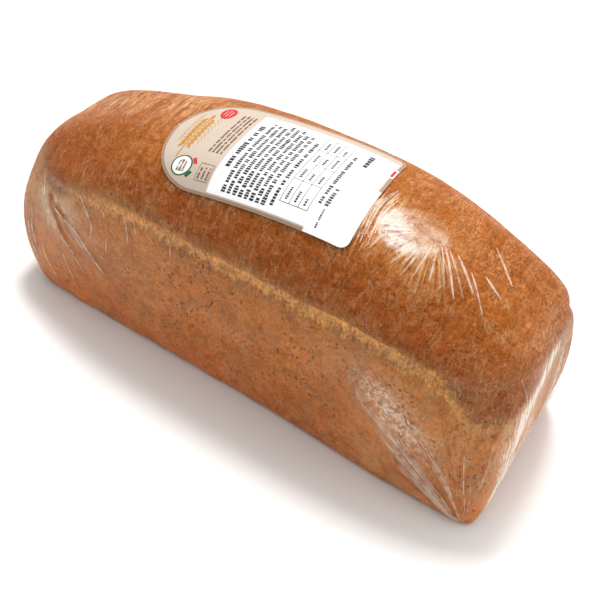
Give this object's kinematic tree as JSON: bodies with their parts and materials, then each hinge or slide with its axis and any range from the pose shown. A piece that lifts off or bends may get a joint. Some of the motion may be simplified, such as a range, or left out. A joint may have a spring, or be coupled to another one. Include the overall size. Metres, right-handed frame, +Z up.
{
  "type": "film-wrapped tin loaf",
  "caption": "Long tin loaf of bread wrapped tightly in clear film, with a domed crust that overhangs its sides and a paper label on top.",
  "frame": {"origin": "middle of the loaf's footprint, on the surface that it rests on", "axes": "+Z up, +X along the loaf towards its fuller end, -Y the long side that the label leans towards"},
  "size_m": [0.2756, 0.095, 0.1199],
  "materials": {
    "crust": "browned bread crust, seen through clear glossy film",
    "clear_film": "thin clear stretch film, glossy, with fine creases",
    "label_paper": "smooth white and beige label paper",
    "label_ink": "printed ink"
  },
  "bodies": {
    "root": {"wrapped_loaf": "crust", "label": "label_paper"}
  },
  "joints": []
}
